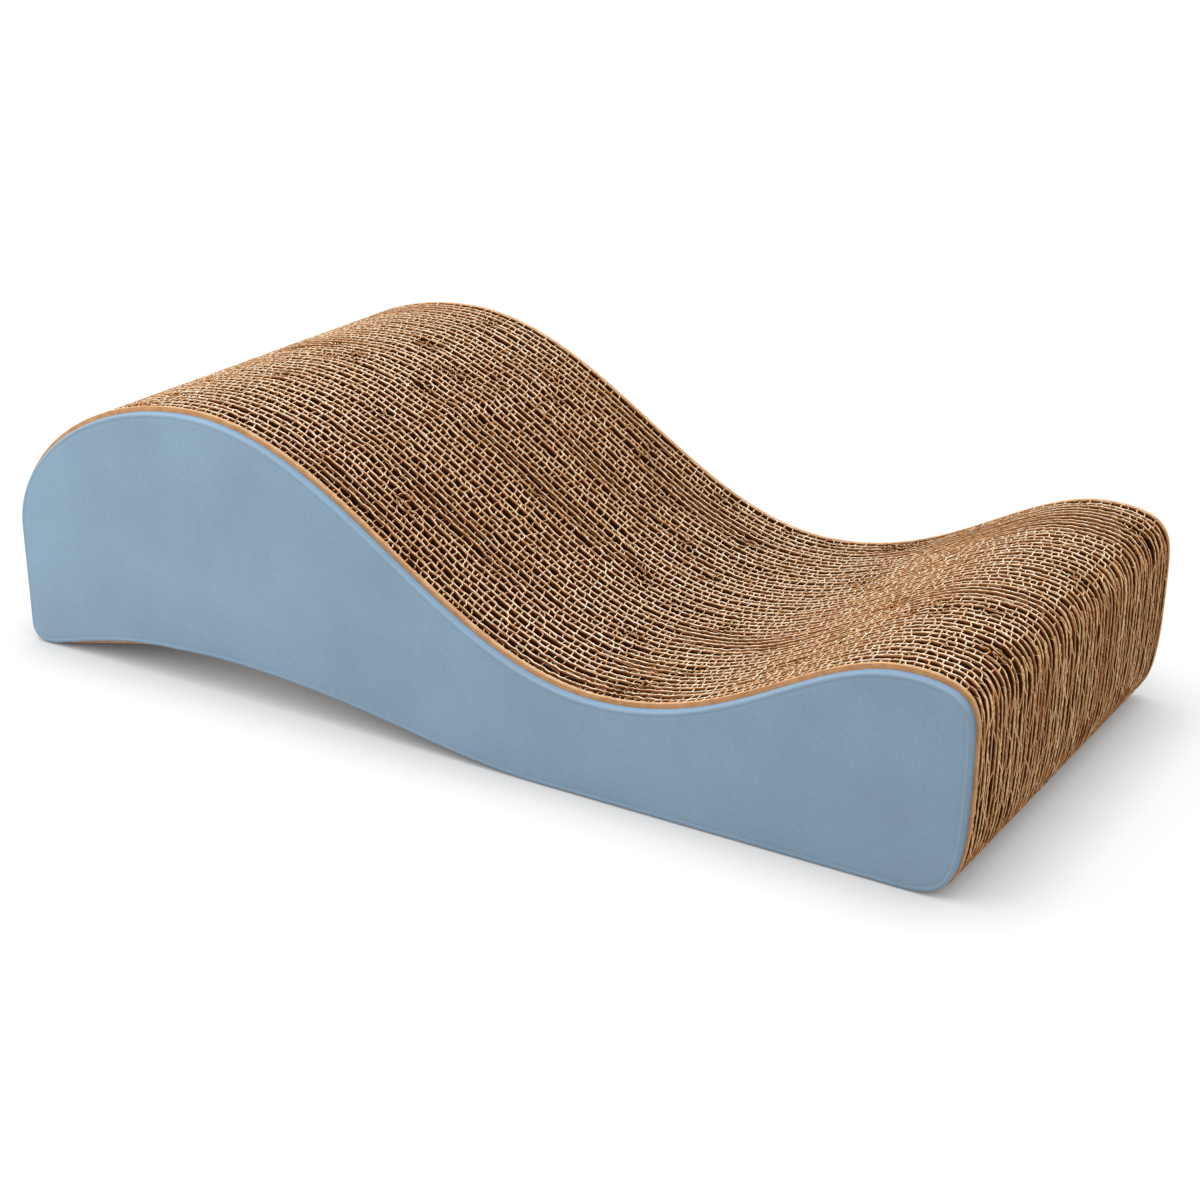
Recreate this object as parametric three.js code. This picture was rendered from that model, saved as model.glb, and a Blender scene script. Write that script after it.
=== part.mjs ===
// Wave cat scratcher: a lounge for a cat, made of double-wall corrugated board.
// Board sheets of one wave outline stand on edge and are glued side by side across the width.
// A kraft facing board and a thick blue side panel close each side of the stack.
// Millimetres, +Z up. +X runs from the tall head to the low tail, and -Y is the near side.
// The origin lies on the floor under the middle of the object.

import * as THREE from 'three';

// Overall outline
const LENGTH = 558.8;
const WIDTH = 254;
const HEIGHT = 152.4;

// Head: an upright end that turns over into the crest of the wave
const HEAD_CORNER_RADIUS = 11;
const BROW_HEIGHT = 68;
const CREST_FROM_HEAD = 128.4;

// Saddle that the cat lies in
const SADDLE_FROM_TAIL = 191.3;
const SADDLE_HEIGHT = 53.2;

// Tail: a low lip that turns down into an upright end, which tucks in towards the floor
const LIP_FROM_TAIL = 32.4;
const LIP_HEIGHT = 105;
const CHIN_HEIGHT = 75.2;
const TAIL_TUCK = 34.4;

// Underside: a short foot under the head, a shallow arch and a long flat under the saddle
const FOOT_LENGTH = 18;
const ARCH_FROM_HEAD = 140;
const ARCH_HEIGHT = 19;
const FLAT_LENGTH = 220.6;

// Fullness of each curve where it leaves or meets a point, as a share of the curve's own span
const BROW_FULLNESS = 0.48;
const CREST_HEAD_FULLNESS = 0.57;
const CREST_TAIL_FULLNESS = 0.38;
const SADDLE_HEAD_FULLNESS = 0.36;
const SADDLE_TAIL_FULLNESS = 0.461;
const LIP_HEAD_FULLNESS = 0.3;
const LIP_TAIL_FULLNESS = 0.98;
const CHIN_TOP_FULLNESS = 0.574;
const CHIN_BOTTOM_FULLNESS = 0.89;
const TUCK_FULLNESS = 0.896;
const FLAT_FULLNESS = 0.307;
const ARCH_TAIL_FULLNESS = 0.473;
const ARCH_HEAD_FULLNESS = 0.4;
const FOOT_FULLNESS = 0.33;

// How steeply the arch leaves the foot, as the share of its height that its first handle reaches
const FOOT_RISE = 0.42;

// The stack across the width: the sheets share what the facing boards, panels and glue lines leave
const SHEET_COUNT = 25;
const FACING_THICKNESS = 1.6;
const PANEL_THICKNESS = 4;
const GLUE_LINE = 0.1;
const LAYER_COUNT = SHEET_COUNT + 4;
const GLUE_WIDTH = GLUE_LINE * (LAYER_COUNT - 1);
const SHEET_THICKNESS = (WIDTH - 2 * (PANEL_THICKNESS + FACING_THICKNESS) - GLUE_WIDTH) / SHEET_COUNT;

// Side panels: their rounded edge lies inside the boards' outline, and they are glued on low, just clear of the floor
const PANEL_SETBACK = 1.4;
const PANEL_DROP = 1.2;
const PANEL_EDGE_RADIUS = 1.6;
const PANEL_EDGE_STEPS = 3;

const kraftCore = new THREE.MeshStandardMaterial({ color: 0xb58a60, roughness: 0.95, metalness: 0 });
const kraftFacing = new THREE.MeshStandardMaterial({ color: 0xcd9b69, roughness: 0.9, metalness: 0 });
const paleBlue = new THREE.MeshStandardMaterial({ color: 0x92adc7, roughness: 0.75, metalness: 0 });

// A curve that is level at both of its ends, such as the slope from the crest to the saddle.
function levelCurve(from, to, leaving, arriving) {
  const span = to.x - from.x;
  const first = new THREE.Vector2(from.x + leaving * span, from.y);
  const second = new THREE.Vector2(to.x - arriving * span, to.y);
  return new THREE.CubicBezierCurve(from, first, second, to);
}

// The rounded bottom corner of the head, drawn in the outline's own sense, clockwise with +X to the right.
function headCorner(centreX) {
  const radius = HEAD_CORNER_RADIUS;
  return new THREE.EllipseCurve(centreX, radius, radius, radius, -Math.PI / 2, -Math.PI, true);
}

// The wave outline in X and Z, as points, counter-clockwise.
function waveOutline() {
  const headX = -LENGTH / 2;
  const tailX = LENGTH / 2;
  const headFoot = new THREE.Vector2(headX, HEAD_CORNER_RADIUS);
  const brow = new THREE.Vector2(headX, BROW_HEIGHT);
  const crest = new THREE.Vector2(headX + CREST_FROM_HEAD, HEIGHT);
  const saddle = new THREE.Vector2(tailX - SADDLE_FROM_TAIL, SADDLE_HEIGHT);
  const lip = new THREE.Vector2(tailX - LIP_FROM_TAIL, LIP_HEIGHT);
  const chin = new THREE.Vector2(tailX, CHIN_HEIGHT);
  const flatTail = new THREE.Vector2(tailX - TAIL_TUCK, 0);
  const flatHead = new THREE.Vector2(tailX - FLAT_LENGTH, 0);
  const arch = new THREE.Vector2(headX + ARCH_FROM_HEAD, ARCH_HEIGHT);
  const footTail = new THREE.Vector2(headX + FOOT_LENGTH, 0);
  const footHead = new THREE.Vector2(headX + HEAD_CORNER_RADIUS, 0);

  const overHead = new THREE.CubicBezierCurve(
    brow,
    new THREE.Vector2(brow.x, brow.y + BROW_FULLNESS * (crest.y - brow.y)),
    new THREE.Vector2(crest.x - CREST_HEAD_FULLNESS * (crest.x - brow.x), crest.y),
    crest,
  );
  const overLip = new THREE.CubicBezierCurve(
    lip,
    new THREE.Vector2(lip.x + LIP_TAIL_FULLNESS * (chin.x - lip.x), lip.y),
    new THREE.Vector2(chin.x, chin.y + CHIN_TOP_FULLNESS * (lip.y - chin.y)),
    chin,
  );
  const tuckedEnd = new THREE.CubicBezierCurve(
    chin,
    new THREE.Vector2(chin.x, (1 - CHIN_BOTTOM_FULLNESS) * chin.y),
    new THREE.Vector2(flatTail.x + TUCK_FULLNESS * TAIL_TUCK, 0),
    flatTail,
  );
  const archHead = new THREE.CubicBezierCurve(
    arch,
    new THREE.Vector2(arch.x - ARCH_HEAD_FULLNESS * (arch.x - footTail.x), arch.y),
    new THREE.Vector2(footTail.x + FOOT_FULLNESS * (arch.x - footTail.x), FOOT_RISE * arch.y),
    footTail,
  );

  const stretches = [
    [new THREE.LineCurve(headFoot, brow), 1],
    [overHead, 10],
    [levelCurve(crest, saddle, CREST_TAIL_FULLNESS, SADDLE_HEAD_FULLNESS), 12],
    [levelCurve(saddle, lip, SADDLE_TAIL_FULLNESS, LIP_HEAD_FULLNESS), 9],
    [overLip, 7],
    [tuckedEnd, 9],
    [new THREE.LineCurve(flatTail, flatHead), 1],
    [levelCurve(flatHead, arch, FLAT_FULLNESS, ARCH_TAIL_FULLNESS), 7],
    [archHead, 6],
    [new THREE.LineCurve(footTail, footHead), 1],
    [headCorner(footHead.x), 3],
  ];
  const clockwise = stretches.flatMap(([curve, steps]) => curve.getPoints(steps).slice(0, -1));
  return clockwise.reverse();
}

// Unit normal of an edge, pointing out of a counter-clockwise outline.
function edgeNormal(from, to) {
  return new THREE.Vector2(to.y - from.y, from.x - to.x).normalize();
}

// The outline moved inwards by the same distance all round.
function insetOutline(outline, inset) {
  return outline.map((point, index) => {
    const before = outline.at(index - 1);
    const after = outline[(index + 1) % outline.length];
    const normalBefore = edgeNormal(before, point);
    const normalAfter = edgeNormal(point, after);
    const reach = inset / (1 + normalBefore.dot(normalAfter));
    return point.clone().addScaledVector(normalBefore.add(normalAfter), -reach);
  });
}

// A closed layer of the stack. Each ring is the outline at one depth along Y, the lowest Y first.
function layerGeometry(outline, rings) {
  const count = outline.length;
  const positions = [];
  const triangles = [];
  for (const { inset, depth } of rings) {
    for (const point of insetOutline(outline, inset)) {
      positions.push(point.x, depth, point.y);
    }
  }
  for (let ring = 0; ring < rings.length - 1; ring += 1) {
    for (let index = 0; index < count; index += 1) {
      const next = (index + 1) % count;
      const near = ring * count;
      const far = near + count;
      triangles.push(near + index, far + index, near + next);
      triangles.push(near + next, far + index, far + next);
    }
  }
  const farFace = (rings.length - 1) * count;
  const facing = THREE.ShapeUtils.triangulateShape(outline, []);
  for (const [a, b, c] of facing) {
    triangles.push(a, b, c);
    triangles.push(farFace + a, farFace + c, farFace + b);
  }
  const geometry = new THREE.BufferGeometry();
  geometry.setAttribute('position', new THREE.Float32BufferAttribute(positions, 3));
  geometry.setIndex(triangles);
  geometry.computeVertexNormals();
  return geometry;
}

// A flat board of the full outline.
function boardGeometry(outline, thickness) {
  return layerGeometry(outline, [{ inset: 0, depth: 0 }, { inset: 0, depth: thickness }]);
}

// Rings of a side panel from its flat inner face to its rounded outer edge, as distances from the inner face.
function panelRings() {
  const rings = [{ inset: PANEL_SETBACK, depth: 0 }];
  for (let step = 0; step <= PANEL_EDGE_STEPS; step += 1) {
    const angle = (step / PANEL_EDGE_STEPS) * (Math.PI / 2);
    rings.push({
      inset: PANEL_SETBACK + PANEL_EDGE_RADIUS * (1 - Math.cos(angle)),
      depth: PANEL_THICKNESS - PANEL_EDGE_RADIUS * (1 - Math.sin(angle)),
    });
  }
  return rings;
}

function farPanelGeometry(outline) {
  return layerGeometry(outline, panelRings()).translate(0, 0, -PANEL_DROP);
}

function nearPanelGeometry(outline) {
  const rings = panelRings().map(({ inset, depth }) => ({ inset, depth: PANEL_THICKNESS - depth }));
  return layerGeometry(outline, rings.reverse()).translate(0, 0, -PANEL_DROP);
}

// The layers in the order that they are glued, from the near side to the far side.
function stackLayers(outline) {
  const facing = { thickness: FACING_THICKNESS, material: kraftFacing };
  const panel = { thickness: PANEL_THICKNESS, material: paleBlue };
  const sheets = Array.from({ length: SHEET_COUNT }, (_, index) => ({
    name: `corrugated_sheet_${String(index + 1).padStart(2, '0')}`,
    thickness: SHEET_THICKNESS,
    material: kraftCore,
    geometry: boardGeometry(outline, SHEET_THICKNESS),
  }));
  return [
    { ...panel, name: 'near_side_panel', geometry: nearPanelGeometry(outline) },
    { ...facing, name: 'near_facing_board', geometry: boardGeometry(outline, FACING_THICKNESS) },
    ...sheets,
    { ...facing, name: 'far_facing_board', geometry: boardGeometry(outline, FACING_THICKNESS) },
    { ...panel, name: 'far_side_panel', geometry: farPanelGeometry(outline) },
  ];
}

const scratcher = new THREE.Group();
let nearFace = -WIDTH / 2;
for (const layer of stackLayers(waveOutline())) {
  const mesh = new THREE.Mesh(layer.geometry, layer.material);
  mesh.name = layer.name;
  mesh.position.y = nearFace;
  scratcher.add(mesh);
  nearFace += layer.thickness + GLUE_LINE;
}

export default scratcher;
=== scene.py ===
import math

import bpy
import numpy as np
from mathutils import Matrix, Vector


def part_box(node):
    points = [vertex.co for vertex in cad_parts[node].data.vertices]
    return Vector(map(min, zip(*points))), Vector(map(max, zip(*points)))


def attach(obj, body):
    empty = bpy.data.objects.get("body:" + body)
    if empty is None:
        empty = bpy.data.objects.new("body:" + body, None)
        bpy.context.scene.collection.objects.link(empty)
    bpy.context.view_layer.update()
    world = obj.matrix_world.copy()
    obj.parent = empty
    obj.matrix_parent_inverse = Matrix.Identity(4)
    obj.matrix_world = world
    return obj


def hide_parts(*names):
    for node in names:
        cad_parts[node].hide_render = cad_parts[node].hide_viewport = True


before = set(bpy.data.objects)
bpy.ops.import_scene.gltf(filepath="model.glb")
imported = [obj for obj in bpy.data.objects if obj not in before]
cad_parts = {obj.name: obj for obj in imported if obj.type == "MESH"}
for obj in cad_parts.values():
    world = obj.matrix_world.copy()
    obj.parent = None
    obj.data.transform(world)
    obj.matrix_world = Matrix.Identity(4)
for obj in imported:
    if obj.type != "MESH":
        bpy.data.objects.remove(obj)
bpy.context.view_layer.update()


# Camera, floor and light
# The scratcher stands on a plain white studio floor, seen from above its tail corner.
# A broad soft light hangs above it, a weaker one fills the near side of its head, and all around is white.
CAMERA_AIM = (0.01452, 0.0, 0.0425)
CAMERA_DISTANCE = 1.1746
CAMERA_TURN = math.radians(31.91)
CAMERA_RISE = math.radians(22.33)
CAMERA_LENS = 66.51
CAMERA_SENSOR = 36.0
FLOOR_SIZE = 12.0
FLOOR_DROP = 0.0002
FLOOR_SHADE = 0.7
SEEN_FLOOR_SHADE = 0.28
FLOOR_LIFT = 0.68
FAR_FLOOR_LIFT = 0.9
NEAR_FLOOR_REACH = 0.5
FAR_FLOOR_REACH = 1.5
CONTACT_REACH = 0.048
CONTACT_SOFTNESS = 0.75
CONTACT_SAMPLES = 8
WHITE = (1.0, 1.0, 1.0, 1.0)
SURROUND_LEVEL = 0.58
KEY_PLACE = (-0.2, -0.3, 2.4)
KEY_SIZE = 2.4
KEY_POWER = 53.0
KEY_COLOUR = (1.0, 1.0, 1.0)
FILL_PLACE = (-0.75, -0.65, 0.45)
FILL_SIZE = 0.5
FILL_POWER = 3.2
FILL_COLOUR = (0.9, 0.96, 1.0)


def link(material, start, end):
    material.node_tree.links.new(start, end)


def add_node(material, kind, **settings):
    node = material.node_tree.nodes.new(kind)
    for setting, value in settings.items():
        setattr(node, setting, value)
    return node


def math_node(material, operation, first, second):
    node = add_node(material, "ShaderNodeMath", operation=operation)
    for socket, value in zip(node.inputs, (first, second)):
        if isinstance(value, (int, float)):
            socket.default_value = value
        else:
            link(material, value, socket)
    return node.outputs[0]


# 1 where the eye meets a surface straight on or in a reflection, 0 for light on its way between surfaces.
def seen_directly(material):
    path = add_node(material, "ShaderNodeLightPath")
    straight = math_node(material, "ADD", path.outputs["Is Camera Ray"], path.outputs["Is Glossy Ray"])
    total = math_node(material, "ADD", straight, path.outputs["Is Transmission Ray"])
    return math_node(material, "MINIMUM", total, 1.0)


bpy.ops.object.select_all(action="DESELECT")
back_level = math.cos(CAMERA_RISE) * CAMERA_DISTANCE
camera_place = (
    CAMERA_AIM[0] + math.sin(CAMERA_TURN) * back_level,
    CAMERA_AIM[1] - math.cos(CAMERA_TURN) * back_level,
    CAMERA_AIM[2] + math.sin(CAMERA_RISE) * CAMERA_DISTANCE,
)
camera_turn = (math.pi / 2 - CAMERA_RISE, 0.0, CAMERA_TURN)
bpy.ops.object.camera_add(location=camera_place, rotation=camera_turn)
camera = bpy.context.object
camera.data.lens = CAMERA_LENS
camera.data.sensor_width = CAMERA_SENSOR
camera.data.sensor_fit = "HORIZONTAL"
bpy.context.scene.camera = camera
bpy.context.scene.view_settings.view_transform = "Standard"

bpy.ops.mesh.primitive_plane_add(size=FLOOR_SIZE, location=(0.0, 0.0, -FLOOR_DROP))
floor = bpy.context.object
floor.name = "studio_floor"
floor_white = bpy.data.materials.new("studio_white")
floor_white.use_nodes = True
floor_white.node_tree.nodes.clear()
floor_seen = seen_directly(floor_white)
floor_paint = add_node(floor_white, "ShaderNodeBsdfDiffuse")
seen_change = math_node(floor_white, "MULTIPLY", floor_seen, SEEN_FLOOR_SHADE - FLOOR_SHADE)
link(floor_white, math_node(floor_white, "ADD", seen_change, FLOOR_SHADE), floor_paint.inputs["Color"])
floor_glow = add_node(floor_white, "ShaderNodeEmission")
floor_place = add_node(floor_white, "ShaderNodeTexCoord")
floor_reach = add_node(floor_white, "ShaderNodeVectorMath", operation="LENGTH")
link(floor_white, floor_place.outputs["Object"], floor_reach.inputs[0])
floor_range = add_node(floor_white, "ShaderNodeMapRange")
floor_range.inputs["From Min"].default_value = NEAR_FLOOR_REACH
floor_range.inputs["From Max"].default_value = FAR_FLOOR_REACH
floor_range.inputs["To Min"].default_value = FLOOR_LIFT
floor_range.inputs["To Max"].default_value = FAR_FLOOR_LIFT
link(floor_white, floor_reach.outputs["Value"], floor_range.inputs["Value"])
# The floor's glow is dimmed where the object hems it in, a painted contact shadow round the object.
floor_open = add_node(floor_white, "ShaderNodeAmbientOcclusion", samples=CONTACT_SAMPLES)
floor_open.inputs["Distance"].default_value = CONTACT_REACH
contact_shadow_factor = math_node(floor_white, "POWER", floor_open.outputs["AO"], CONTACT_SOFTNESS)
floor_lift = math_node(floor_white, "MULTIPLY", contact_shadow_factor, floor_range.outputs["Result"])
seen_lift = math_node(floor_white, "MULTIPLY", floor_seen, floor_lift)
link(floor_white, seen_lift, floor_glow.inputs["Strength"])
floor_sum = add_node(floor_white, "ShaderNodeAddShader")
link(floor_white, floor_paint.outputs[0], floor_sum.inputs[0])
link(floor_white, floor_glow.outputs[0], floor_sum.inputs[1])
floor_end = add_node(floor_white, "ShaderNodeOutputMaterial")
link(floor_white, floor_sum.outputs[0], floor_end.inputs["Surface"])
floor.data.materials.append(floor_white)

surround = bpy.data.worlds.new("white_surround")
surround.use_nodes = True
bpy.context.scene.world = surround
surround_glow = surround.node_tree.nodes["Background"]
surround_glow.inputs["Color"].default_value = WHITE
seen_white = math_node(surround, "MULTIPLY", seen_directly(surround), 1.0 - SURROUND_LEVEL)
link(surround, math_node(surround, "ADD", seen_white, SURROUND_LEVEL), surround_glow.inputs["Strength"])

for place, size, power, colour in (
    (KEY_PLACE, KEY_SIZE, KEY_POWER, KEY_COLOUR),
    (FILL_PLACE, FILL_SIZE, FILL_POWER, FILL_COLOUR),
):
    bpy.ops.object.light_add(type="AREA", location=place)
    lamp = bpy.context.object
    lamp.data.shape = "DISK"
    lamp.data.size = size
    lamp.data.energy = power
    lamp.data.color = colour
    lamp.rotation_euler = (-lamp.location).to_track_quat("-Z", "Y").to_euler()


# Corrugated sheets
# Double-wall corrugated board, cut to one wave outline, stood on edge with its flutes upright and glued
# face to face. Three flat liners hold a fine and a coarse fluted paper, which cut into small and large cells.
HEAD_CORNER_RADIUS = 0.011
BROW_HEIGHT = 0.068
CREST_FROM_HEAD = 0.1284
SADDLE_FROM_TAIL = 0.1913
SADDLE_HEIGHT = 0.0532
LIP_FROM_TAIL = 0.0324
LIP_HEIGHT = 0.105
CHIN_HEIGHT = 0.0752
TAIL_TUCK = 0.0344
FOOT_LENGTH = 0.018
ARCH_FROM_HEAD = 0.14
ARCH_HEIGHT = 0.019
FLAT_LENGTH = 0.2206
BROW_FULLNESS = 0.48
CREST_HEAD_FULLNESS = 0.57
CREST_TAIL_FULLNESS = 0.38
SADDLE_HEAD_FULLNESS = 0.36
SADDLE_TAIL_FULLNESS = 0.461
LIP_HEAD_FULLNESS = 0.3
LIP_TAIL_FULLNESS = 0.98
CHIN_TOP_FULLNESS = 0.574
CHIN_BOTTOM_FULLNESS = 0.89
TUCK_FULLNESS = 0.896
FLAT_FULLNESS = 0.307
ARCH_TAIL_FULLNESS = 0.473
ARCH_HEAD_FULLNESS = 0.4
FOOT_FULLNESS = 0.33
FOOT_RISE = 0.42
SLOPE_STEP = 0.0004

sheet_names = sorted(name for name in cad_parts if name.startswith("corrugated_sheet_"))
sheet_boxes = [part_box(name) for name in sheet_names]
HEAD_X = sheet_boxes[0][0].x
TAIL_X = sheet_boxes[0][1].x
CREST_HEIGHT = sheet_boxes[0][1].z


def cubic(start, leaving, arriving, end, steps):
    share = np.linspace(0.0, 1.0, steps + 1)[:, None]
    rest = 1.0 - share
    first, second, third, fourth = (np.array(point) for point in (start, leaving, arriving, end))
    return rest**3 * first + 3 * rest**2 * share * second + 3 * rest * share**2 * third + share**3 * fourth


def level_curve(start, end, leaving, arriving, steps):
    span = end[0] - start[0]
    return cubic(start, (start[0] + leaving * span, start[1]), (end[0] - arriving * span, end[1]), end, steps)


def corner_arc(centre_x, radius, start_angle, end_angle, steps):
    angle = np.linspace(start_angle, end_angle, steps + 1)
    return np.stack([centre_x + radius * np.cos(angle), radius + radius * np.sin(angle)], axis=1)


brow = (HEAD_X, BROW_HEIGHT)
crest = (HEAD_X + CREST_FROM_HEAD, CREST_HEIGHT)
saddle = (TAIL_X - SADDLE_FROM_TAIL, SADDLE_HEIGHT)
lip = (TAIL_X - LIP_FROM_TAIL, LIP_HEIGHT)
chin = (TAIL_X, CHIN_HEIGHT)
flat_tail = (TAIL_X - TAIL_TUCK, 0.0)
flat_head = (TAIL_X - FLAT_LENGTH, 0.0)
arch = (HEAD_X + ARCH_FROM_HEAD, ARCH_HEIGHT)
foot_tail = (HEAD_X + FOOT_LENGTH, 0.0)
foot_head = (HEAD_X + HEAD_CORNER_RADIUS, 0.0)

over_head = cubic(
    brow,
    (brow[0], brow[1] + BROW_FULLNESS * (crest[1] - brow[1])),
    (crest[0] - CREST_HEAD_FULLNESS * (crest[0] - brow[0]), crest[1]),
    crest,
    steps=48,
)
over_lip = cubic(
    lip,
    (lip[0] + LIP_TAIL_FULLNESS * (chin[0] - lip[0]), lip[1]),
    (chin[0], chin[1] + CHIN_TOP_FULLNESS * (lip[1] - chin[1])),
    chin,
    steps=40,
)
top_edge = np.vstack([
    over_head,
    level_curve(crest, saddle, CREST_TAIL_FULLNESS, SADDLE_HEAD_FULLNESS, steps=60)[1:],
    level_curve(saddle, lip, SADDLE_TAIL_FULLNESS, LIP_HEAD_FULLNESS, steps=48)[1:],
    over_lip[1:],
])
arch_head = cubic(
    foot_tail,
    (foot_tail[0] + FOOT_FULLNESS * (arch[0] - foot_tail[0]), FOOT_RISE * arch[1]),
    (arch[0] - ARCH_HEAD_FULLNESS * (arch[0] - foot_tail[0]), arch[1]),
    arch,
    steps=30,
)
tucked_end = cubic(
    flat_tail,
    (flat_tail[0] + TUCK_FULLNESS * TAIL_TUCK, 0.0),
    (chin[0], (1.0 - CHIN_BOTTOM_FULLNESS) * chin[1]),
    chin,
    steps=40,
)
bottom_edge = np.vstack([
    corner_arc(foot_head[0], HEAD_CORNER_RADIUS, -math.pi, -math.pi / 2, steps=12),
    arch_head,
    level_curve(arch, flat_head, ARCH_TAIL_FULLNESS, FLAT_FULLNESS, steps=36)[1:],
    tucked_end,
])


def top_height(x):
    return np.interp(x, top_edge[:, 0], top_edge[:, 1])


def bottom_height(x):
    return np.interp(x, bottom_edge[:, 0], bottom_edge[:, 1])


# How square an edge lies to an upright paper: 1 where it is level, less where it is steep.
def square_on(x, height):
    near = np.clip(x - SLOPE_STEP, HEAD_X, TAIL_X)
    far = np.clip(x + SLOPE_STEP, HEAD_X, TAIL_X)
    return 1.0 / np.sqrt(1.0 + ((height(far) - height(near)) / (far - near)) ** 2)


FINE_ROW_SHARE = 0.455
FINE_PITCH = 0.0038
COARSE_PITCH = 0.0054
STEEPEST_SHARE = 0.28
OUTER_LINER = 0.00036
MIDDLE_LINER = 0.0006
FLUTED_PAPER = 0.0005
END_PAPER = 0.0007
GLUED_SHARE = 0.05
TURN_RADIUS = 0.0011
TURN_SHAPE = ((-1.0, 0.0), (-0.2, 0.06), (0.12, 0.3), (-0.12, 0.7), (0.2, 0.94), (1.0, 1.0))
PITCH_SPREAD = 0.22
PITCH_LIMITS = (0.65, 1.5)
FIRST_TURN = (0.3, 1.0)
LAST_TURN = 0.4
FINE_MISSING = 0.02
COARSE_MISSING = 0.12
END_MISSING = 0.04
MISSING_STEP = (1.6, 2.1)
WALL_LEAN = -0.18
LEAN_SPREAD = 0.14
HEAD_ZONE = (0.0025, 0.013)
TAIL_ZONE = (0.0022, 0.0065)
END_LIP_GAP = 0.003
END_DEPTH = 0.006
END_PITCH = 0.015
END_SWING = 0.5
END_TURN_WIDTH = (0.0015, 0.004)
END_RAGGED = (-0.006, 0.0018)
END_WALL_SHADE = 1.9
LINER_END_SHADE = 1.8
FLUTE_END_SHADE = 0.9
END_STEPS = 70
TAIL_TIP = 0.00004
CUT_DEPTHS = (0.0013, 0.009)
CUT_HEIGHT_SHARES = (0.4, 0.5)
DROP_HEIGHT_SHARE = 0.2
FOOT_DEPTH = 0.006
FOOT_HEIGHT_SHARE = 0.2
FOOT_SHADE = 4.0
CUT_ROUGHNESS = 0.00012
SIDE_ROUGHNESS = 0.6
FLUTE_DROP = 0.00028
SUNK_SPOTS = 30
SUNK_ALONG = (0.018, 0.045)
SUNK_ACROSS = (0.005, 0.011)
SUNK_DROP = 0.0013
TORN_SPOTS = 80
TORN_ALONG = (0.003, 0.01)
TORN_ACROSS = (0.003, 0.007)
TORN_DROP = 0.001
TORN_BEND = 0.0005
DRIFT_WAVES = 8
DRIFT_LENGTHS = (0.012, 0.11)
DRIFT_USUAL_LENGTH = 0.06
SEAM_DRIFT = 0.00016
RIPPLE_WAVES = 6
RIPPLE_LENGTHS = (0.005, 0.011)
SEAM_RIPPLE = 0.00011
CRUSHED_SPOTS = 40
CRUSHED_ALONG = (0.01, 0.028)
CRUSHED_ACROSS = (0.018, 0.05)
CRUSHED_LENGTHS = (0.03, 0.09)
CRUSH_REACHES = (0.00039, 0.0013)
CRUSH_EDGE_FADE = 8
LINER_STEPS = 480
LINER_END_PLACES = (0.0002, 0.0006, 0.0012)
WALL_SHADE_REACH = 0.03
CUT_SHADE_REACH = 0.003
MATT_SHINE = 0.2
FIBRE_HEIGHT = 0.0002
SMOOTH_ANGLE = math.radians(40)
SHEET_SEED = 11

sheet_dice = np.random.default_rng(SHEET_SEED)


# A colour as read from a screen, 0 to 255, as the linear shares that the finishes take.
def paint(red, green, blue):
    shares = np.array([red, green, blue]) / 255.0
    linear = np.where(shares <= 0.04045, shares / 12.92, ((shares + 0.055) / 1.055) ** 2.4)
    return (*linear.tolist(), 1.0)


def noise_node(material, scale, detail, stretch=(1.0, 1.0, 1.0)):
    place = add_node(material, "ShaderNodeTexCoord")
    mapping = add_node(material, "ShaderNodeMapping")
    mapping.inputs["Scale"].default_value = stretch
    link(material, place.outputs["Object"], mapping.inputs["Vector"])
    noise = add_node(material, "ShaderNodeTexNoise")
    noise.inputs["Scale"].default_value = scale
    noise.inputs["Detail"].default_value = detail
    link(material, mapping.outputs["Vector"], noise.inputs["Vector"])
    return noise.outputs["Fac"]


def ramp_node(material, value, stops):
    ramp = add_node(material, "ShaderNodeValToRGB")
    while len(ramp.color_ramp.elements) < len(stops):
        ramp.color_ramp.elements.new(1.0)
    for element, (place, colour) in zip(ramp.color_ramp.elements, stops):
        element.position = place
        element.color = colour
    link(material, value, ramp.inputs["Fac"])
    return ramp.outputs["Color"]


def tint_node(material, first, second):
    mix = add_node(material, "ShaderNodeMix", data_type="RGBA", blend_type="MULTIPLY")
    mix.inputs["Factor"].default_value = 1.0
    link(material, first, mix.inputs["A"])
    link(material, second, mix.inputs["B"])
    return mix.outputs["Result"]


def bump_node(material, height, strength):
    bump = add_node(material, "ShaderNodeBump")
    bump.inputs["Strength"].default_value = strength
    bump.inputs["Distance"].default_value = FIBRE_HEIGHT
    link(material, height, bump.inputs["Height"])
    return bump.outputs["Normal"]


def matt_finish(name, roughness):
    material = bpy.data.materials.new(name)
    material.use_nodes = True
    shader = material.node_tree.nodes["Principled BSDF"]
    shader.inputs["Roughness"].default_value = roughness
    shader.inputs["Specular IOR Level"].default_value = MATT_SHINE
    return material, shader


# How far a place on a paper lies below the cut edges, as a share of a reach.
def depth_share(material, reach):
    depth = add_node(material, "ShaderNodeAttribute", attribute_name="depth")
    return math_node(material, "MULTIPLY", depth.outputs["Fac"], 1.0 / reach)


def face_direction(material):
    direction = add_node(material, "ShaderNodeSeparateXYZ")
    link(material, add_node(material, "ShaderNodeTexCoord").outputs["Normal"], direction.inputs[0])
    return direction.outputs
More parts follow.
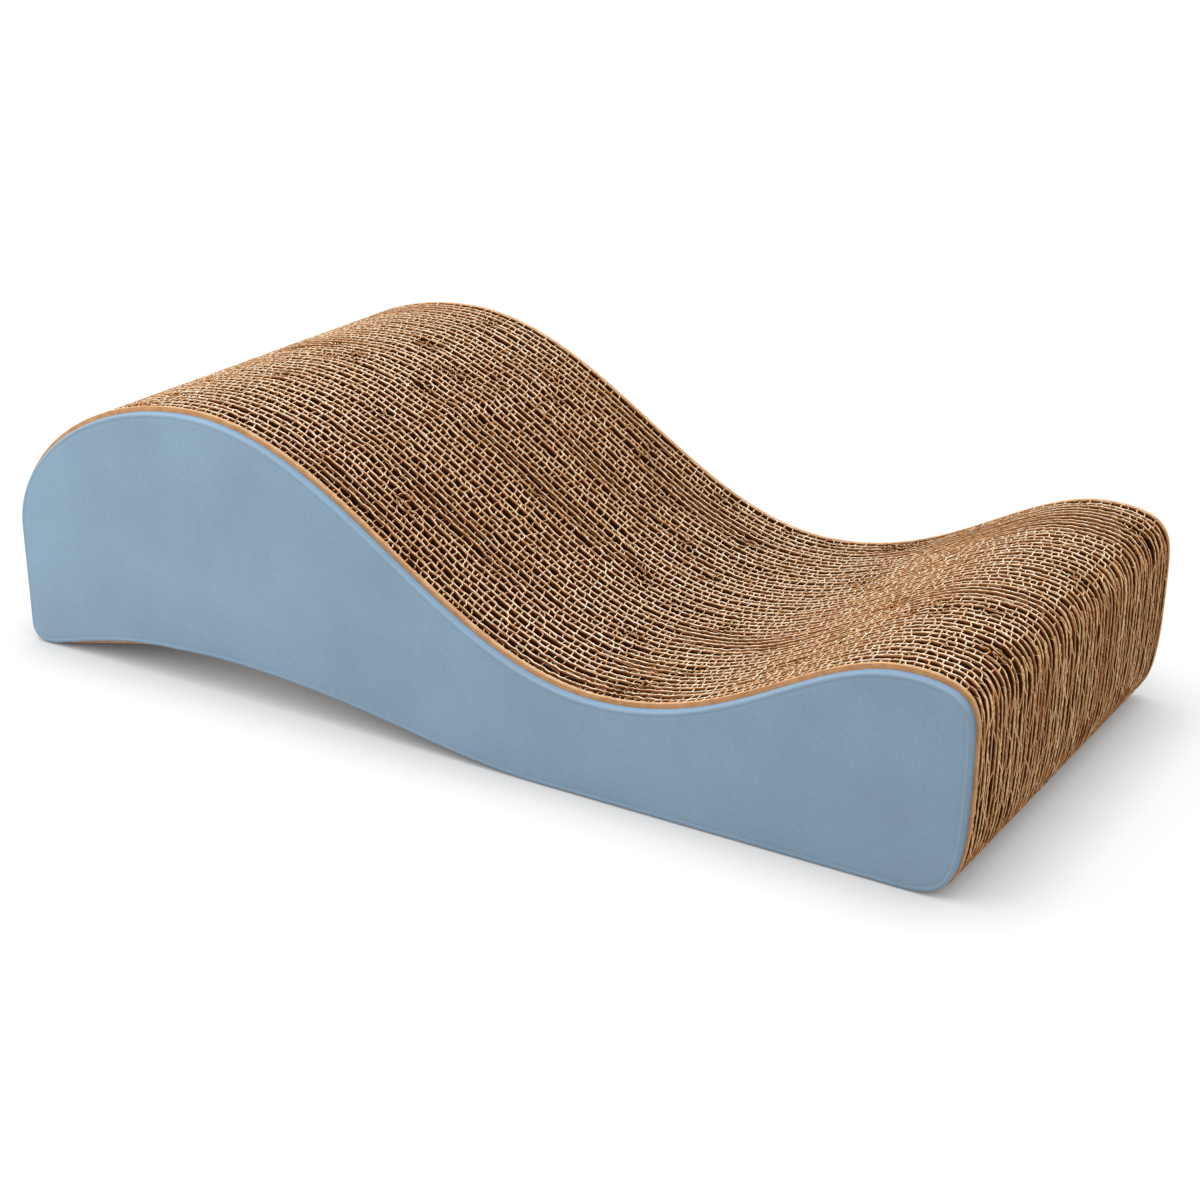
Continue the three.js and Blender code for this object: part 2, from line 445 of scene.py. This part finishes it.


# Kraft paper seen inside the cells, with painted shade that darkens it with depth below the cut edges.
def wall_finish(name, stops):
    material, shader = matt_finish(name, roughness=0.95)
    colour = ramp_node(material, depth_share(material, WALL_SHADE_REACH), stops)
    fibre_noise = noise_node(material, scale=900.0, detail=3.0, stretch=(1.0, 1.0, 0.25))
    fibre = ramp_node(material, fibre_noise, [
        (0.3, (0.72, 0.72, 0.72, 1.0)),
        (0.7, WHITE),
    ])
    link(material, tint_node(material, colour, fibre), shader.inputs["Base Color"])
    return material


# The rough cut edge of kraft paper, with painted light: paler where it faces up, darker on the end faces, and
# painted shade where it has sunk.
def cut_finish(name, dark, middle, pale):
    material, shader = matt_finish(name, roughness=0.95)
    stops = [(0.34, dark), (0.52, middle), (0.72, pale)]
    paper = ramp_node(material, noise_node(material, scale=420.0, detail=4.0), stops)
    # Painted shade on cut edges that have sunk below their neighbours.
    shade = ramp_node(material, depth_share(material, CUT_SHADE_REACH), [
        (0.0, WHITE),
        (0.24, (0.66, 0.54, 0.42, 1.0)),
        (1.0, (0.22, 0.15, 0.1, 1.0)),
    ])
    # Painted light by facing: end faces darker and warmer, up-facing edges paler.
    painted_facing_light = ramp_node(material, face_direction(material)["Z"], [
        (0.0, (0.93, 0.8, 0.64, 1.0)),
        (0.2, (0.99, 0.86, 0.69, 1.0)),
        (0.6, (1.0, 0.96, 0.82, 1.0)),
        (0.85, (1.01, 0.98, 0.86, 1.0)),
        (0.96, (1.16, 1.32, 1.5, 1.0)),
    ])
    shaded = tint_node(material, paper, shade)
    link(material, tint_node(material, shaded, painted_facing_light), shader.inputs["Base Color"])
    rough_noise = noise_node(material, scale=2600.0, detail=2.0)
    roughened = bump_node(material, rough_noise, strength=0.5)
    link(material, roughened, shader.inputs["Normal"])
    return material


# Painted shade for both wall finishes: the colours run from lit kraft at the cut edge to near black deep in
# the cells.
liner_wall = wall_finish("liner_wall", [
    (0.0, paint(226, 174, 124)),
    (0.014, paint(213, 147, 89)),
    (0.026, paint(172, 102, 45)),
    (0.04, paint(116, 60, 20)),
    (0.06, paint(80, 38, 11)),
    (0.1, paint(48, 20, 5)),
    (0.35, paint(18, 6, 2)),
])
flute_wall = wall_finish("flute_wall", [
    (0.0, paint(216, 162, 112)),
    (0.014, paint(200, 136, 82)),
    (0.026, paint(160, 93, 40)),
    (0.04, paint(104, 53, 18)),
    (0.06, paint(72, 34, 10)),
    (0.1, paint(43, 18, 5)),
    (0.35, paint(18, 6, 2)),
])
liner_cut = cut_finish("liner_cut", paint(204, 150, 100), paint(248, 220, 182), paint(250, 240, 220))
flute_cut = cut_finish("flute_cut", paint(188, 130, 82), paint(236, 202, 160), paint(250, 230, 202))


# Waves by which a glued seam wanders off its straight line: long drifts and short ripples.
def drift_waves():
    drift_lengths = sheet_dice.uniform(*DRIFT_LENGTHS, DRIFT_WAVES)
    ripple_lengths = sheet_dice.uniform(*RIPPLE_LENGTHS, RIPPLE_WAVES)
    drift_strengths = SEAM_DRIFT * np.sqrt(drift_lengths / DRIFT_USUAL_LENGTH)
    lengths = np.concatenate([drift_lengths, ripple_lengths])
    strengths = np.concatenate([drift_strengths, np.full(RIPPLE_WAVES, SEAM_RIPPLE)])
    heights = strengths * sheet_dice.normal(0.0, 1.0, len(lengths))
    starts = sheet_dice.uniform(0.0, 2 * math.pi, len(lengths))
    return list(zip(lengths, heights, starts))


def drift_at(waves, x):
    total = 0.0 * x
    for length, height, start in waves:
        total += height * np.sin(2 * math.pi * x / length + start)
    return total


stack_low = sheet_boxes[0][0].y
stack_high = sheet_boxes[-1][1].y
# Each crushed spot has a place, its reach along and across the rows, how far it pushes, and a wave length.
crushed = [
    (
        sheet_dice.uniform(HEAD_X, TAIL_X),
        sheet_dice.uniform(stack_low, stack_high),
        sheet_dice.uniform(*CRUSHED_ALONG),
        sheet_dice.uniform(*CRUSHED_ACROSS),
        sheet_dice.uniform(*CRUSH_REACHES),
        sheet_dice.uniform(*CRUSHED_LENGTHS),
    )
    for _ in range(CRUSHED_SPOTS)
]


# How far the rows are pushed sideways together at a place. It fades out at both sides of the stack.
def crush_at(x, y):
    total = 0.0 * x
    for spot_x, spot_y, along, across, reach, length in crushed:
        near = np.exp(-(((x - spot_x) / along) ** 2) - ((y - spot_y) / across) ** 2)
        total += reach * near * np.sin(2 * math.pi * (x - spot_x) / length)
    edge = 1.0 - (2.0 * (y - stack_low) / (stack_high - stack_low) - 1.0) ** CRUSH_EDGE_FADE
    return total * edge


# Places scattered over the stack, each with its reach along and across the rows.
def scatter_spots(count, along, across):
    return [
        (
            sheet_dice.uniform(HEAD_X, TAIL_X),
            sheet_dice.uniform(stack_low, stack_high),
            sheet_dice.uniform(*along),
            sheet_dice.uniform(*across),
        )
        for _ in range(count)
    ]


sunk = scatter_spots(SUNK_SPOTS, SUNK_ALONG, SUNK_ACROSS)
torn = scatter_spots(TORN_SPOTS, TORN_ALONG, TORN_ACROSS)


def share_at(spots, x, y):
    total = 0.0 * x
    for spot_x, spot_y, along, across in spots:
        total += np.exp(-(((x - spot_x) / along) ** 2) - ((y - spot_y) / across) ** 2)
    return np.minimum(total, 1.0)


# Places where a fluted paper crosses from one liner to the other, unevenly spaced, with some left out.
def turning_points(start, end, pitch_at, missing):
    turns = []
    place = start + sheet_dice.uniform(*FIRST_TURN) * pitch_at(start)
    while place < end - LAST_TURN * pitch_at(end):
        turns.append(place)
        step = pitch_at(place) * np.clip(sheet_dice.normal(1.0, PITCH_SPREAD), *PITCH_LIMITS)
        if sheet_dice.random() < missing:
            step *= sheet_dice.uniform(*MISSING_STEP)
        place += step
    return np.array(turns)


# The course of a fluted paper from above: places along the sheet, shares of the way across its row,
# and how far its cut edge has sunk.
def flute_route(pitch, missing, row_depth, head_zone, tail_zone):
    start = HEAD_X + head_zone
    end = TAIL_X - tail_zone

    def pitch_at(x):
        return pitch * np.maximum(square_on(x, top_height), STEEPEST_SHARE)

    turns = turning_points(start, end, pitch_at, missing)[:, None]
    sides = np.where(np.arange(len(turns)) % 2 == 0, 1.0, -1.0)[:, None]
    shape = np.array(TURN_SHAPE)
    across = 0.5 + sides * (shape[None, :, 1] - 0.5)
    lean = row_depth * sheet_dice.normal(WALL_LEAN, LEAN_SPREAD, (len(turns), 1))
    local = pitch_at(turns) / pitch
    along = (turns + local * (TURN_RADIUS * shape[None, :, 0] + lean * (across - 0.5))).ravel()
    across = across.ravel()
    along = np.concatenate([[start], along, [end]])
    across = np.concatenate([across[:1], across, across[-1:]])
    drop = np.repeat(np.abs(sheet_dice.normal(0.0, FLUTE_DROP, len(turns))), len(shape))
    drop = np.concatenate([drop[:1], drop, drop[-1:]])
    return along, across, drop


# A paper through rows of places. Its depth below the cut edges is stored on it for the painted shade of the
# finishes.
def paper_piece(name, places, depth, thickness, wall, cut):
    rows, columns = depth.shape
    bpy.ops.object.select_all(action="DESELECT")
    bpy.ops.mesh.primitive_grid_add(x_subdivisions=columns - 1, y_subdivisions=rows - 1, calc_uvs=False)
    piece = bpy.context.object
    piece.name = name
    piece.data.vertices.foreach_set("co", places.ravel())
    piece.data.attributes.new("depth", "FLOAT", "POINT").data.foreach_set("value", depth.ravel())
    piece.data.materials.append(wall)
    piece.data.materials.append(cut)
    bpy.ops.object.modifier_add(type="SOLIDIFY")
    paper = piece.modifiers[-1]
    paper.thickness = thickness
    paper.offset = 0.0
    paper.material_offset_rim = 1
    bpy.ops.object.modifier_apply(modifier=paper.name)
    return piece


# A liner or fluted paper that stands upright from the lower to the upper edge of the wave.
def upright_paper(name, along, y, drop, thickness, wall, cut, end_shade):
    top = top_height(along)
    bottom = bottom_height(along)
    tall = top - bottom
    top_square = square_on(along, top_height)
    bottom_square = square_on(along, bottom_height)
    worn = share_at(torn, along, y)
    drop = drop + TORN_DROP * worn * sheet_dice.random(len(along))
    drop += np.abs(sheet_dice.normal(0.0, CUT_ROUGHNESS, len(along)))
    heights = np.stack([
        bottom,
        bottom + np.minimum(FOOT_DEPTH / bottom_square, FOOT_HEIGHT_SHARE * tall),
        top - np.minimum(CUT_DEPTHS[1] / top_square, CUT_HEIGHT_SHARES[1] * tall),
        top - np.minimum((CUT_DEPTHS[0] + drop) / top_square, CUT_HEIGHT_SHARES[0] * tall),
        top - np.minimum(drop / top_square, DROP_HEIGHT_SHARE * tall),
    ])
    # The depth that drives the painted shade, made shallower near the foot and the ends of the sheet, so the
    # walls there are painted lighter.
    depth = np.minimum((top - heights) * top_square, FOOT_SHADE * (heights - bottom) * bottom_square)
    depth = np.minimum(depth, end_shade * np.minimum(along - HEAD_X, TAIL_X - along))
    rows = len(heights)
    sideways = np.tile(y, (rows, 1))
    bend = SIDE_ROUGHNESS * CUT_ROUGHNESS + TORN_BEND * worn
    sideways[-1] += sheet_dice.normal(0.0, 1.0, len(along)) * bend
    places = np.stack([np.tile(along, (rows, 1)), sideways, heights], axis=-1)
    return paper_piece(name, places, depth, thickness, wall, cut)


tail_foot = bottom_edge[bottom_edge[:, 0] > flat_tail[0]]
tail_end = np.vstack([tail_foot, top_edge[top_edge[:, 0] > lip[0]][::-1]])
head_foot = bottom_edge[bottom_edge[:, 0] < foot_head[0]][::-1]
head_end = np.vstack([head_foot, top_edge[top_edge[:, 0] < crest[0]]])


# A fluted paper cut along its length at the head or tail end, where it shows as a wavy line in a slit.
def end_paper(name, end, inward, zone, start_line, end_line):
    foot_x = (HEAD_X if inward > 0 else TAIL_X) + inward * zone
    low_z = float(bottom_height(foot_x))
    high_z = float(top_height(foot_x)) + sheet_dice.uniform(*END_RAGGED)
    high_z = min(high_z, LIP_HEIGHT - END_LIP_GAP)
    z = np.linspace(low_z, high_z, END_STEPS)
    turns = turning_points(low_z, high_z, lambda _: END_PITCH, END_MISSING)
    side = sheet_dice.choice((-1.0, 1.0))
    across = np.full(END_STEPS, side)
    for turn in turns:
        next_side = -math.copysign(sheet_dice.uniform(END_SWING, 1.0), side)
        width = sheet_dice.uniform(*END_TURN_WIDTH)
        across += 0.5 * (next_side - side) * (1.0 + np.tanh((z - turn) / width))
        side = next_side
    across = 0.5 + 0.5 * np.clip(across, -1.0, 1.0)
    face_x = np.interp(z, end[:, 1], end[:, 0])
    reach = np.array([0.0, CUT_DEPTHS[0], END_DEPTH])[:, None]
    x = face_x[None, :] + inward * reach
    x[0] += sheet_dice.normal(0.0, CUT_ROUGHNESS, END_STEPS)
    start = start_line(x)
    y = start + across[None, :] * (end_line(x) - start)
    places = np.stack([x, y, np.tile(z, (len(reach), 1))], axis=-1)
    # End papers are painted darker sooner with depth, as painted shade in the slits.
    depth = END_WALL_SHADE * np.tile(reach, (1, END_STEPS))
    return paper_piece(name, places, depth, END_PAPER, flute_wall, flute_cut)


liner_middle = np.linspace(HEAD_X, TAIL_X - TAIL_TIP, LINER_STEPS)
liner_ends = np.array(LINER_END_PLACES)
liner_places = np.unique(np.concatenate([liner_middle, HEAD_X + liner_ends, TAIL_X - liner_ends]))
seams = [drift_waves() for _ in range(len(sheet_names) + 1)]
seams[0] = []
seams[-1] = []

for index, (sheet_name, (low, high)) in enumerate(zip(sheet_names, sheet_boxes)):
    middle_rest = low.y + FINE_ROW_SHARE * (high.y - low.y)
    middle_waves = drift_waves()

    def near_line(x):
        return low.y + OUTER_LINER / 2 + drift_at(seams[index], x) + crush_at(x, low.y)

    def middle_line(x):
        return middle_rest + drift_at(middle_waves, x) + crush_at(x, middle_rest)

    def far_line(x):
        return high.y - OUTER_LINER / 2 + drift_at(seams[index + 1], x) + crush_at(x, high.y)

    papers = []
    for liner, line, thickness in (
        ("near_liner", near_line, OUTER_LINER),
        ("middle_liner", middle_line, MIDDLE_LINER),
        ("far_liner", far_line, OUTER_LINER),
    ):
        y = line(liner_places)
        finish = (thickness, liner_wall, liner_cut, LINER_END_SHADE)
        papers.append(upright_paper(liner, liner_places, y, 0.0, *finish))
    inside = OUTER_LINER / 2 + GLUED_SHARE * FLUTED_PAPER
    between = MIDDLE_LINER / 2 + GLUED_SHARE * FLUTED_PAPER

    def fine_start(x):
        return near_line(x) + inside

    def fine_end(x):
        return middle_line(x) - between

    def coarse_start(x):
        return middle_line(x) + between

    def coarse_end(x):
        return far_line(x) - inside

    for row, pitch, missing, start_line, end_line in (
        ("fine_flutes", FINE_PITCH, FINE_MISSING, fine_start, fine_end),
        ("coarse_flutes", COARSE_PITCH, COARSE_MISSING, coarse_start, coarse_end),
    ):
        head_zone = sheet_dice.uniform(*HEAD_ZONE)
        tail_zone = sheet_dice.uniform(*TAIL_ZONE)
        row_depth = end_line(0.0) - start_line(0.0)
        along, across, drop = flute_route(pitch, missing, row_depth, head_zone, tail_zone)
        start = start_line(along)
        folds = start + across * (end_line(along) - start)
        drop += SUNK_DROP * share_at(sunk, along, folds)
        finish = (FLUTED_PAPER, flute_wall, flute_cut, FLUTE_END_SHADE)
        papers.append(upright_paper(row, along, folds, drop, *finish))
        papers.append(end_paper(row + "_tail", tail_end, -1.0, tail_zone, start_line, end_line))
        papers.append(end_paper(row + "_head", head_end, 1.0, head_zone, start_line, end_line))
    bpy.ops.object.select_all(action="DESELECT")
    for paper in papers:
        paper.select_set(True)
    bpy.context.view_layer.objects.active = papers[0]
    bpy.ops.object.join()
    sheet = bpy.context.object
    sheet.name = "visual_" + sheet_name
    bpy.ops.object.transform_apply(location=True, rotation=True, scale=True)
    bpy.ops.object.shade_smooth_by_angle(angle=SMOOTH_ANGLE)
    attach(sheet, "root")
    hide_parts(sheet_name)


# Kraft facing boards
# A solid kraft board of the full outline is glued over each side of the stack.
# Its cut edge and a narrow border of its face show, as a plain tan strip beside the side panel.
FACING_EDGE_BREAK = 0.0003
FACING_EDGE_STEPS = 2
FACING_EDGE_ANGLE = math.radians(50)

outline = np.vstack([bottom_edge, top_edge[::-1][1:]])

kraft_facing, facing_shader = matt_finish("kraft_facing", roughness=0.9)
facing_cloud = noise_node(kraft_facing, scale=160.0, detail=5.0, stretch=(1.0, 0.5, 1.0))
facing_colour = ramp_node(kraft_facing, facing_cloud, [
    (0.3, paint(196, 147, 103)),
    (0.7, paint(220, 174, 128)),
])
facing_streak = noise_node(kraft_facing, scale=900.0, detail=2.0, stretch=(1.0, 0.06, 1.0))
facing_tick = ramp_node(kraft_facing, facing_streak, [
    (0.3, (0.86, 0.84, 0.82, 1.0)),
    (0.48, WHITE),
])
# The board's flat faces are darker than its cut edge: partly a darker board face, partly painted shade of the
# crevice beside the side panel.
facing_side = math_node(kraft_facing, "ABSOLUTE", face_direction(kraft_facing)["Y"], 0.0)
face_tone_and_shade = ramp_node(kraft_facing, facing_side, [
    (0.5, WHITE),
    (0.9, (0.8, 0.72, 0.64, 1.0)),
])
facing_paper = tint_node(kraft_facing, facing_colour, facing_tick)
facing_finish = tint_node(kraft_facing, facing_paper, face_tone_and_shade)
link(kraft_facing, facing_finish, facing_shader.inputs["Base Color"])
facing_fibre = noise_node(kraft_facing, scale=1500.0, detail=3.0)
facing_rough = bump_node(kraft_facing, facing_fibre, strength=0.35)
link(kraft_facing, facing_rough, facing_shader.inputs["Normal"])


# The outline moved inwards by the same distance all round.
def inset_outline(points, distance):
    ahead = np.roll(points, -1, axis=0) - points
    ahead /= np.linalg.norm(ahead, axis=1, keepdims=True)
    normal = np.stack([ahead[:, 1], -ahead[:, 0]], axis=1)
    before = np.roll(normal, 1, axis=0)
    reach = distance / (1.0 + np.sum(normal * before, axis=1, keepdims=True))
    return points - (normal + before) * reach


# A flat board of one outline, from one place across the width to another.
def cut_blank(name, points, start_y, end_y):
    bpy.ops.object.select_all(action="DESELECT")
    bpy.ops.mesh.primitive_circle_add(vertices=len(points), fill_type="NGON", calc_uvs=False)
    blank = bpy.context.object
    blank.name = name
    places = np.stack([points[:, 0], np.full(len(points), start_y), points[:, 1]], axis=1)
    blank.data.vertices.foreach_set("co", places.ravel())
    bpy.ops.object.mode_set(mode="EDIT")
    bpy.ops.mesh.select_all(action="SELECT")
    bpy.ops.mesh.extrude_region_move(TRANSFORM_OT_translate={"value": (0.0, end_y - start_y, 0.0)})
    bpy.ops.mesh.select_all(action="SELECT")
    bpy.ops.mesh.normals_make_consistent(inside=False)
    bpy.ops.object.mode_set(mode="OBJECT")
    return blank


for board_name in ("near_facing_board", "far_facing_board"):
    low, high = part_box(board_name)
    board = cut_blank("visual_" + board_name, outline, low.y, high.y)
    bpy.ops.object.modifier_add(type="BEVEL")
    edge_break = board.modifiers[-1]
    edge_break.width = FACING_EDGE_BREAK
    edge_break.segments = FACING_EDGE_STEPS
    edge_break.angle_limit = FACING_EDGE_ANGLE
    bpy.ops.object.modifier_apply(modifier=edge_break.name)
    bpy.ops.object.shade_smooth_by_angle(angle=SMOOTH_ANGLE)
    board.data.materials.append(kraft_facing)
    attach(board, "root")
    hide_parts(board_name)


# Blue side panels
# A thick board wrapped in pale blue paper closes each side, cut smaller than the boards and glued on low.
# Its outer edge is rolled over, and a shallow pressed line runs just inside the roll.
# Along the foot of the head its lower edge stops short, so that the kraft board shows under it.
PANEL_SETBACK = 0.0014
PANEL_DROP = 0.0012
FOOT_SHOWN = 0.0022
FOOT_SHOWN_REACH = (0.008, 0.11)
PANEL_EDGE_RADIUS = 0.0016
PANEL_EDGE_STEPS = 6
FLAT_FACE_TILT = 0.9
PRESSED_LINE = (
    (0.0003, -0.00005),
    (0.0005, -0.00016),
    (0.0005, 0.00002),
    (0.0006, 0.00013),
    (0.0006, 0.00006),
)

blue_paper, blue_shader = matt_finish("blue_paper", roughness=0.75)
blue_mottle = ramp_node(blue_paper, noise_node(blue_paper, scale=26.0, detail=8.0), [
    (0.25, paint(129, 152, 170)),
    (0.75, paint(137, 161, 180)),
])
blue_grain = ramp_node(blue_paper, noise_node(blue_paper, scale=1200.0, detail=3.0), [
    (0.35, (0.92, 0.92, 0.92, 1.0)),
    (0.65, WHITE),
])
# Painted highlight: a pale line partway round the rolled edge; the outer part of the roll is a more saturated
# blue.
blue_rim = add_node(blue_paper, "ShaderNodeAttribute", attribute_name="rim")
rim_highlight_tint = ramp_node(blue_paper, blue_rim.outputs["Fac"], [
    (0.0, WHITE),
    (0.16, WHITE),
    (0.3, (1.13, 1.12, 1.1, 1.0)),
    (0.55, (1.0, 1.04, 1.09, 1.0)),
    (1.0, (0.89, 1.02, 1.14, 1.0)),
])
blue_face = tint_node(blue_paper, blue_mottle, blue_grain)
blue_finish = tint_node(blue_paper, blue_face, rim_highlight_tint)
link(blue_paper, blue_finish, blue_shader.inputs["Base Color"])
blue_fibre = noise_node(blue_paper, scale=1800.0, detail=3.0)
blue_rough = bump_node(blue_paper, blue_fibre, strength=0.25)
link(blue_paper, blue_rough, blue_shader.inputs["Normal"])

panel_outline = inset_outline(outline, PANEL_SETBACK) - np.array([0.0, PANEL_DROP])
from_head = bottom_edge[:, 0] - HEAD_X
foot_share = np.interp(from_head, FOOT_SHOWN_REACH, (0.0, 1.0))
panel_outline[: len(bottom_edge), 1] += FOOT_SHOWN * np.sin(math.pi * foot_share)
roll = []
for step in range(PANEL_EDGE_STEPS):
    start = step / PANEL_EDGE_STEPS * math.pi / 2
    end = (step + 1) / PANEL_EDGE_STEPS * math.pi / 2
    roll.append((
        PANEL_EDGE_RADIUS * (math.cos(start) - math.cos(end)),
        PANEL_EDGE_RADIUS * (math.sin(end) - math.sin(start)),
    ))

for panel_name, outward in (("near_side_panel", -1.0), ("far_side_panel", 1.0)):
    low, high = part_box(panel_name)
    inner_y, outer_y = (high.y, low.y) if outward < 0 else (low.y, high.y)
    straight_y = outer_y - outward * PANEL_EDGE_RADIUS
    panel = cut_blank("visual_" + panel_name, panel_outline, inner_y, straight_y)
    for face in panel.data.polygons:
        face.select = face.normal.y * outward > FLAT_FACE_TILT
    for edge in panel.data.edges:
        edge.select = False
    for vertex in panel.data.vertices:
        vertex.select = False
    bpy.ops.object.mode_set(mode="EDIT")
    bpy.ops.mesh.select_mode(type="FACE")
    for inward, rise in (*roll, *PRESSED_LINE):
        bpy.ops.mesh.inset(thickness=inward, depth=rise)
    bpy.ops.object.mode_set(mode="OBJECT")
    rim = panel.data.attributes.new("rim", "FLOAT", "POINT")
    for vertex in panel.data.vertices:
        rim.data[vertex.index].value = min(1.0, abs(outer_y - vertex.co.y) / PANEL_EDGE_RADIUS)
    bpy.ops.object.shade_smooth_by_angle(angle=SMOOTH_ANGLE)
    panel.data.materials.append(blue_paper)
    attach(panel, "root")
    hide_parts(panel_name)
